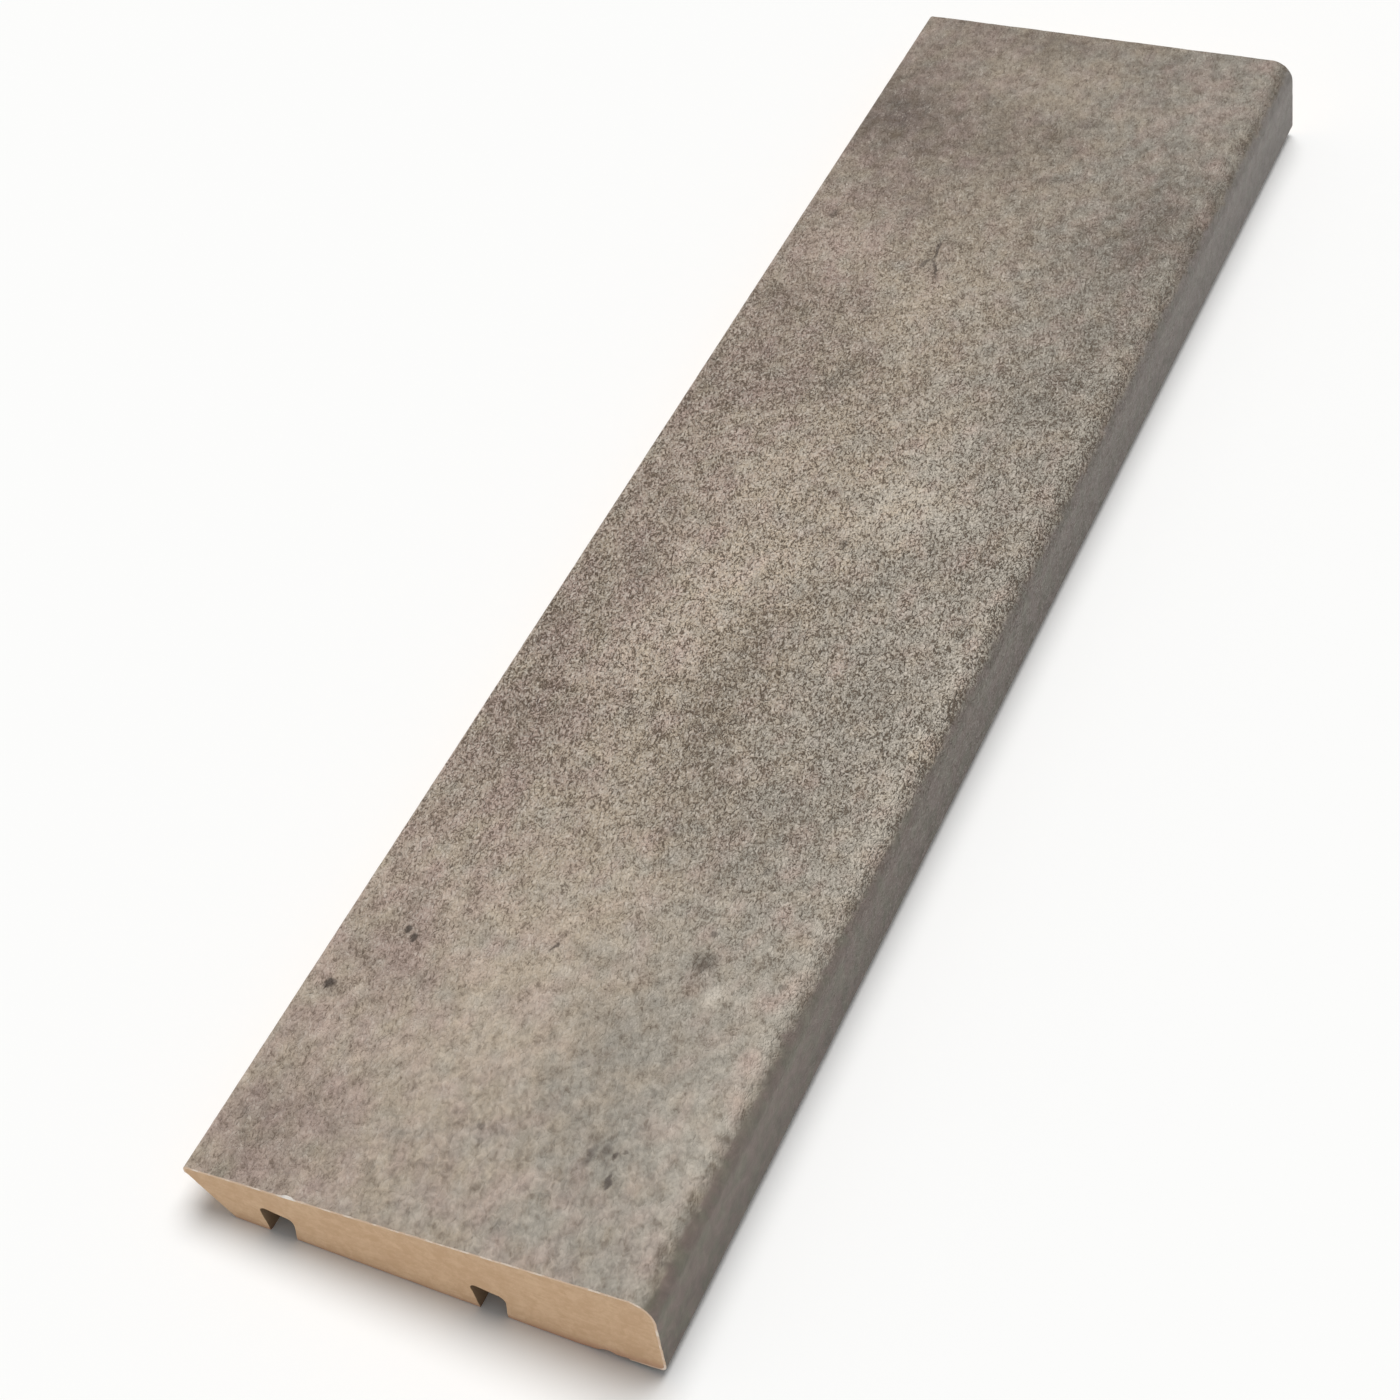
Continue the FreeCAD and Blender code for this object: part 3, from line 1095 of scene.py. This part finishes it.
@dataclass
class FoilWrap:
    """The decor foil: one sheet over the front, the rounded top edge and part of the back.

    Its outer face is a fine grid with a very faint waviness. At both ends its printed face is frayed back
    by a little, with one wider chip at the near end, so that the pale paper under it shows as a thin line.
    """

    board: Board
    step: float = 0.3 * MM
    arc_step: float = 0.26 * MM
    row_step: float = 0.85 * MM
    waviness: Patchy = Patchy(0.035 * MM, 0.5, Waves(5, 60, 1.3 * MM, 7.0 * MM, 0.35), 0.0, 1.0)
    near_fray: Patchy = Patchy(0.05 * MM, 0.55, Waves(11, 24, 0.7 * MM, 9.0 * MM, 0.9), 0.1)
    far_fray: Patchy = Patchy(0.05 * MM, 0.55, Waves(12, 24, 0.7 * MM, 9.0 * MM, 0.9), 0.1)
    chip: Hump = Hump(13.6 * MM, 0.7 * MM, 0.22 * MM, 4)

    def build(self, finish: StonePrint, paper: bpy.types.Material) -> bpy.types.Object:
        """Makes the foil as one closed shell.

        The outer face is outline(s) + inward(s) * waviness(s, y), for y from one frayed end to the other.
        The inner face is the same outline moved in by the foil's thickness, and flat at the ends.

        Args:
            finish: The print of its face.
            paper: The material of its cut edges and its glued side.

        Returns:
            The piece.
        """
        board, section = self.board, self.board.section
        outer, counts = section.wrap_outline(0.0, self.step, self.arc_step)
        inner, _ = section.wrap_outline(section.foil, self.step, self.arc_step, counts)
        nose_steps = counts[0] + counts[1] // 2
        around = arc_lengths(outer)
        across = around - around[nose_steps]
        columns = len(outer)
        rows = math.ceil(board.length / self.row_step) + 1

        near_edge = board.near + self.near_fray.at(across) + self.chip.at(across)
        far_edge = board.far - self.far_fray.at(across)
        share = np.linspace(0.0, 1.0, rows)[:, None]
        run = (1.0 - share) * near_edge + share * far_edge
        sideways = np.broadcast_to(across, run.shape)
        sunk = self.waviness.at(sideways, run)
        outlines = outer[None, :, :] + inward_normals(outer)[None, :, :] * sunk[:, :, None]
        inner_run = np.broadcast_to(np.array([[board.near], [board.far]]), (2, columns))
        inner_outlines = np.broadcast_to(inner, (2, columns, 2))

        points = np.vstack([board.placed(outlines, run), board.placed(inner_outlines, inner_run)])
        faces, picks = self.faces(rows, columns)
        piece = make_piece("foil_wrap", points, faces, [finish.build(), paper], picks)
        along = np.concatenate([run.ravel(), inner_run.ravel()]) - board.near
        self.lay_pattern(piece, np.stack([along, np.tile(across, rows + 2)], axis=-1), finish)
        return piece

    @staticmethod
    def faces(rows: int, columns: int) -> tuple[list, np.ndarray]:
        """Faces of the shell: outer grid, inner grid turned over, and the strips that close its four edges.

        Args:
            rows: Outlines on the outer face.
            columns: Points of an outline.

        Returns:
            The faces, and the material number of each: 0 printed, 1 paper.
        """
        base = rows * columns
        outer = grid_faces(rows, columns, closed=False)
        inner = grid_faces(2, columns, closed=False)[:, ::-1] + base
        column = np.arange(columns - 1)
        last = (rows - 1) * columns
        near_strip = np.stack([column, column + 1, base + column + 1, base + column], axis=-1)
        far = base + columns + column
        far_strip = np.stack([last + column + 1, last + column, far, far + 1], axis=-1)
        nose_edge = [list(range(0, base, columns))[::-1] + [base, base + columns]]
        lap_edge = [list(range(columns - 1, base, columns)) + [base + 2 * columns - 1, base + columns - 1]]
        strips = near_strip.tolist() + far_strip.tolist()
        faces = outer.tolist() + inner.tolist() + strips + nose_edge + lap_edge
        picks = np.ones(len(faces), dtype=int)
        picks[:len(outer)] = 0
        return faces, picks

    @staticmethod
    def lay_pattern(piece: bpy.types.Object, sheet: np.ndarray, finish: StonePrint) -> None:
        """Gives the foil its place on the flat sheet and the print's broad tones.

        Args:
            piece: The foil.
            sheet: Each point's place along and across the sheet, in metres.
            finish: The print.
        """
        mesh = piece.data
        for name, values in finish.tones(sheet[:, 0], sheet[:, 1]).items():
            kind, field = ("FLOAT_COLOR", "color") if values.ndim == 2 else ("FLOAT", "value")
            layer = mesh.attributes.new(name, kind, "POINT")
            layer.data.foreach_set(field, values.astype(np.float32).ravel())
        corners = np.empty(len(mesh.loops), dtype=np.int32)
        mesh.loops.foreach_get("vertex_index", corners)
        places = mesh.uv_layers.new(name=SHEET_UV)
        places.data.foreach_set("uv", sheet[corners].astype(np.float32).ravel())


@dataclass
class CoreBoard:
    """The fibreboard moulding with its bare back, clip grooves and sawn ends.

    The bare edges are worn at both ends, and the back's edge has one notch at the near end.
    """

    board: Board
    step: float = 0.35 * MM
    arc_step: float = 0.12 * MM
    row_step: float = 6.0 * MM
    end_rows: tuple[float, ...] = (0.0, 0.06 * MM, 0.15 * MM, 0.3 * MM, 0.5 * MM, 0.9 * MM)
    plain_from: float = 2.0 * MM
    wear: Patchy = Patchy(0.06 * MM, 0.6, Waves(31, 40, 0.6 * MM, 6.0 * MM, 0.8), 0.15)
    wear_reach: float = 0.5 * MM
    notch: Hump = Hump(50.8 * MM, 0.8 * MM, 0.38 * MM, 4)
    notch_reach: float = 0.8 * MM
    band_margin: float = 0.1 * MM
    groove_margin: float = 0.05 * MM

    def rows(self) -> np.ndarray:
        """Places along Y of the outlines: close together at the worn ends and further apart between."""
        near, far = self.board.near, self.board.far
        fine = np.array(self.end_rows)
        count = math.ceil(self.board.length / self.row_step)
        middle = np.linspace(near + self.plain_from, far - self.plain_from, count)
        return np.concatenate([near + fine, middle, (far - fine)[::-1]])

    def build(self, fibreboard: bpy.types.Material, groove_shaded: bpy.types.Material) -> bpy.types.Object:
        """Makes the core as one closed solid.

        Its sides are loop(s) + inward(s) * sunk(s, y). The wear in sunk falls off with the square of the
        distance from an end, and the notch falls off evenly. Its two ends are flat.

        Args:
            fibreboard: Its material.
            groove_shaded: The darker one inside its clip grooves, as painted shade.

        Returns:
            The piece.
        """
        board, section = self.board, self.board.section
        wrap, _ = section.wrap_outline(section.foil, self.step, self.arc_step)
        back, _ = rounded_outline(*section.back_corners(), self.step, self.arc_step)
        loop = np.vstack([wrap[:-1], back[:-1]])
        bare = np.arange(len(loop)) >= len(wrap)
        columns = len(loop)
        closed = np.vstack([loop[-1:], loop, loop[:1]])
        inward = inward_normals(closed)[1:-1]

        up_wall, out_of_wall = loop.T
        worn = bare * self.wear.at(arc_lengths(loop))
        notched = bare * (out_of_wall < section.foil + self.band_margin) * self.notch.at(up_wall)
        run = self.rows()[:, None]
        to_near, to_far = run - board.near, board.far - run
        sunk = worn * (falling(to_near, self.wear_reach) ** 2 + falling(to_far, self.wear_reach) ** 2)
        sunk = sunk + notched * falling(to_near, self.notch_reach)
        points = board.placed(loop[None, :, :] + inward[None, :, :] * sunk[:, :, None], run)

        rows = len(run)
        sides = grid_faces(rows, columns, closed=True).tolist()
        near_end = [list(range(columns))]
        far_end = [list(range((rows - 1) * columns, rows * columns))[::-1]]
        within = (up_wall > board.foot[0]) & (up_wall < board.band[0])
        grooved = bare & within & ((loop - board.foot) @ board.inward > self.groove_margin)
        # Faces inside the grooves take the fibreboard darkened as painted shade.
        picks = np.concatenate([np.tile(grooved, rows - 1), [False, False]])
        return make_piece("mdf_board", points, sides + near_end + far_end, [fibreboard, groove_shaded], picks)


@dataclass(frozen=True)
class Lamp:
    """A soft lamp far away, by the share of a level white surface's full brightness that it gives."""

    name: str
    azimuth: float
    elevation: float
    share: float
    spread: float

    def build(self, lit: bpy.types.Collection) -> None:
        """Hangs the lamp.

        Its direction is measured from +X towards +Y, and up from the floor.

        Args:
            lit: What it lights. Everything casts its shadow.
        """
        light = bpy.data.lights.new(self.name, "SUN")
        light.energy = self.share * math.pi / math.sin(math.radians(self.elevation))
        light.angle = math.radians(self.spread)
        lamp = bpy.data.objects.new(self.name, light)
        lamp.rotation_euler = (0.0, math.radians(90.0 - self.elevation), math.radians(self.azimuth))
        lamp.light_linking.receiver_collection = lit
        bpy.context.scene.collection.objects.link(lamp)


@dataclass(frozen=True)
class Studio:
    """The pale floor, the white surroundings and the soft lamps."""

    floor_half: float = 2.0
    floor_drop: float = 0.02 * MM
    floor_colour: Colour = linear(249, 249, 248)
    sky: float = 0.28
    board_lamps: tuple[Lamp, ...] = (
        Lamp("key", 124.0, 54.0, 0.62, 20.0),
        Lamp("fill", 262.0, 38.0, 0.13, 40.0),
    )
    floor_lamps: tuple[Lamp, ...] = (Lamp("overhead", 100.0, 70.0, 0.75, 42.0),)

    def build_floor(self) -> bpy.types.Object:
        """Lays the floor, which isn't part of the board.

        Returns:
            The floor. It can be seen through from below, so that the board's back shows.
        """
        half = self.floor_half
        corners = [(-half, -half), (half, -half), (half, half), (-half, half)]
        points = [(x, y, -self.floor_drop) for x, y in corners]
        mesh = bpy.data.meshes.new("floor")
        mesh.from_pydata(points, [], [(0, 1, 2, 3)])
        finish = Finish("pale_floor")
        matt = finish.node("ShaderNodeBsdfDiffuse", None, {"Color": self.floor_colour}, "BSDF")
        clear = finish.node("ShaderNodeBsdfTransparent", None, None, "BSDF")
        seen = finish.node("ShaderNodeLightPath", output="Is Camera Ray")
        under = finish.node("ShaderNodeNewGeometry", output="Backfacing")
        mixed = finish.node("ShaderNodeMixShader", None, {0: seen * under, 1: matt, 2: clear})
        mesh.materials.append(finish.close(mixed))
        floor = bpy.data.objects.new("floor", mesh)
        bpy.context.scene.collection.objects.link(floor)
        return floor

    def build_sky(self) -> None:
        """Makes surroundings that light the board softly and that the camera sees as white."""
        world = bpy.data.worlds.new("surroundings")
        world.use_nodes = True
        tree = world.node_tree
        tree.nodes.clear()
        seen = add_node(tree, "ShaderNodeLightPath", output="Is Camera Ray")
        glow = add_node(tree, "ShaderNodeBackground", None, {"Color": WHITE, "Strength": self.sky})
        white = add_node(tree, "ShaderNodeBackground", None, {"Color": WHITE, "Strength": WHOLE})
        mixed = add_node(tree, "ShaderNodeMixShader", None, {0: seen, 1: glow, 2: white})
        output = tree.nodes.new("ShaderNodeOutputWorld")
        tree.links.new(mixed.socket, output.inputs["Surface"])
        bpy.context.scene.world = world

    def build(self, pieces: list[bpy.types.Object]) -> bpy.types.Object:
        """Sets up the floor, the surroundings and the lamps.

        Args:
            pieces: The board's pieces. The floor has a lamp of its own, so that its shadow stays soft.

        Returns:
            The floor.
        """
        self.build_sky()
        floor = self.build_floor()
        rigs = (("board", self.board_lamps, pieces), ("ground", self.floor_lamps, [floor]))
        for name, lamps, lit in rigs:
            receivers = bpy.data.collections.new(name)
            for thing in lit:
                receivers.objects.link(thing)
            for lamp in lamps:
                lamp.build(receivers)
        return floor


@dataclass(frozen=True)
class Viewpoint:
    """The photograph's camera: it looks down along the board from its near end."""

    target: tuple[float, float, float] = (-4.584 * MM, -29.456 * MM, 6.0 * MM)
    azimuth: float = 26.008
    elevation: float = 47.184
    roll: float = -3.119
    distance: float = 397.97 * MM
    lens: float = 81.53
    sensor: float = 36.0
    nearest: float = 10.0 * MM

    def build(self) -> None:
        """Makes the camera.

        Its axes are the way back from the target, the level direction to its right turned by the roll,
        and the cross product of the two.
        """
        turn, lift, roll = (math.radians(angle) for angle in (self.azimuth, self.elevation, self.roll))
        back = np.array((math.sin(turn) * math.cos(lift), -math.cos(turn) * math.cos(lift), math.sin(lift)))
        level = np.array((math.cos(turn), math.sin(turn), 0.0))
        upright = np.cross(back, level)
        right = math.cos(roll) * level + math.sin(roll) * upright
        up = np.cross(back, right)
        data = bpy.data.cameras.new("camera")
        data.lens = self.lens
        data.sensor_width = self.sensor
        data.clip_start = self.nearest
        camera = bpy.data.objects.new("camera", data)
        pose = np.eye(4)
        pose[:3, 0] = right
        pose[:3, 1] = up
        pose[:3, 2] = back
        pose[:3, 3] = np.array(self.target) + back * self.distance
        camera.matrix_world = Matrix(pose.tolist())
        bpy.context.scene.collection.objects.link(camera)
        bpy.context.scene.camera = camera


def report(piece: bpy.types.Object) -> None:
    """Logs a piece's name and how many faces it has."""
    log.info("%s: %d faces", piece.name, len(piece.data.polygons))


def main() -> None:
    """Builds the board, its studio and its camera."""
    logging.basicConfig(level=logging.INFO, format="%(name)s %(message)s")
    board = Board(Section())

    foil = FoilWrap(board).build(StonePrint(), PaperEdge().build())
    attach(foil, "root")
    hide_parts("decor_foil")
    report(foil)

    fibreboard = Fibreboard("fibreboard").build(board)
    # The grooves' fibreboard is darkened as painted shade.
    groove_shaded = Fibreboard("groove_shaded_fibreboard", GROOVE_SHADE_TONE).build(board)
    core = CoreBoard(board).build(fibreboard, groove_shaded)
    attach(core, "root")
    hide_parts("mdf_core")
    report(core)

    Studio().build([foil, core])
    Viewpoint().build()
    bpy.context.scene.view_settings.view_transform = "Standard"


if __name__ == "__main__":
    main()
